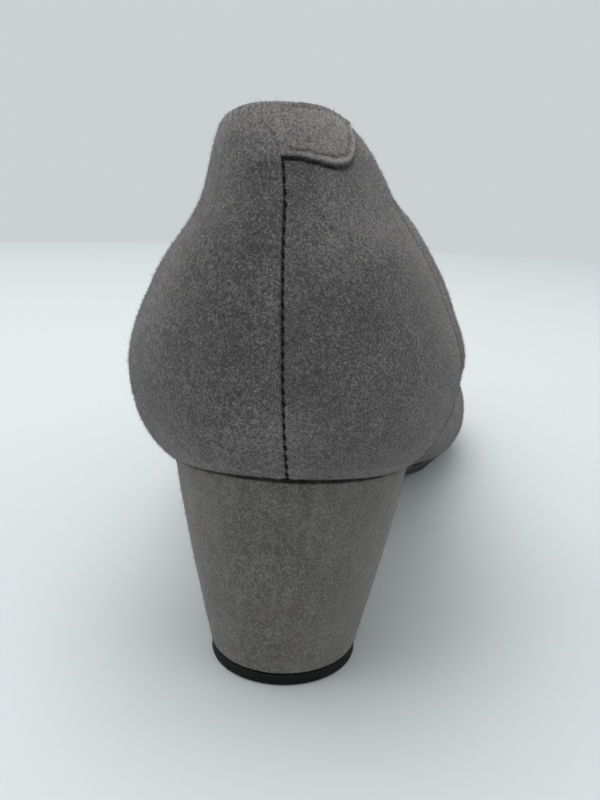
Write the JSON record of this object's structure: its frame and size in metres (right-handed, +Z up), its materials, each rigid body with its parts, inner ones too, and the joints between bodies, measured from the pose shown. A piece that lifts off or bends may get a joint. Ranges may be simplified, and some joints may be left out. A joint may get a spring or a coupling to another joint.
{
  "type": "block heel pump",
  "caption": "Left-foot suede court pump with a round toe, a low covered block heel, a rounded tab lapped over the back seam and a thin dark sole.",
  "frame": {"origin": "on the floor, at the centre of the underside of the heel's top piece", "axes": "+Z up, +Y along the shoe towards the toe, +X towards the inner (medial) side of a left foot"},
  "size_m": [0.0844, 0.2452, 0.1099],
  "materials": {
    "upper_suede": "matt grey suede with a short nap",
    "insole_leather": "smooth matt lining leather",
    "outsole_rubber": "matt black",
    "heel_suede": "worn matt grey suede",
    "top_piece_rubber": "matt black, worn at the edge"
  },
  "bodies": {
    "root": {"upper": "upper_suede", "insole": "insole_leather", "outsole": "outsole_rubber", "heel_block": "heel_suede", "top_piece": "top_piece_rubber"}
  },
  "joints": []
}
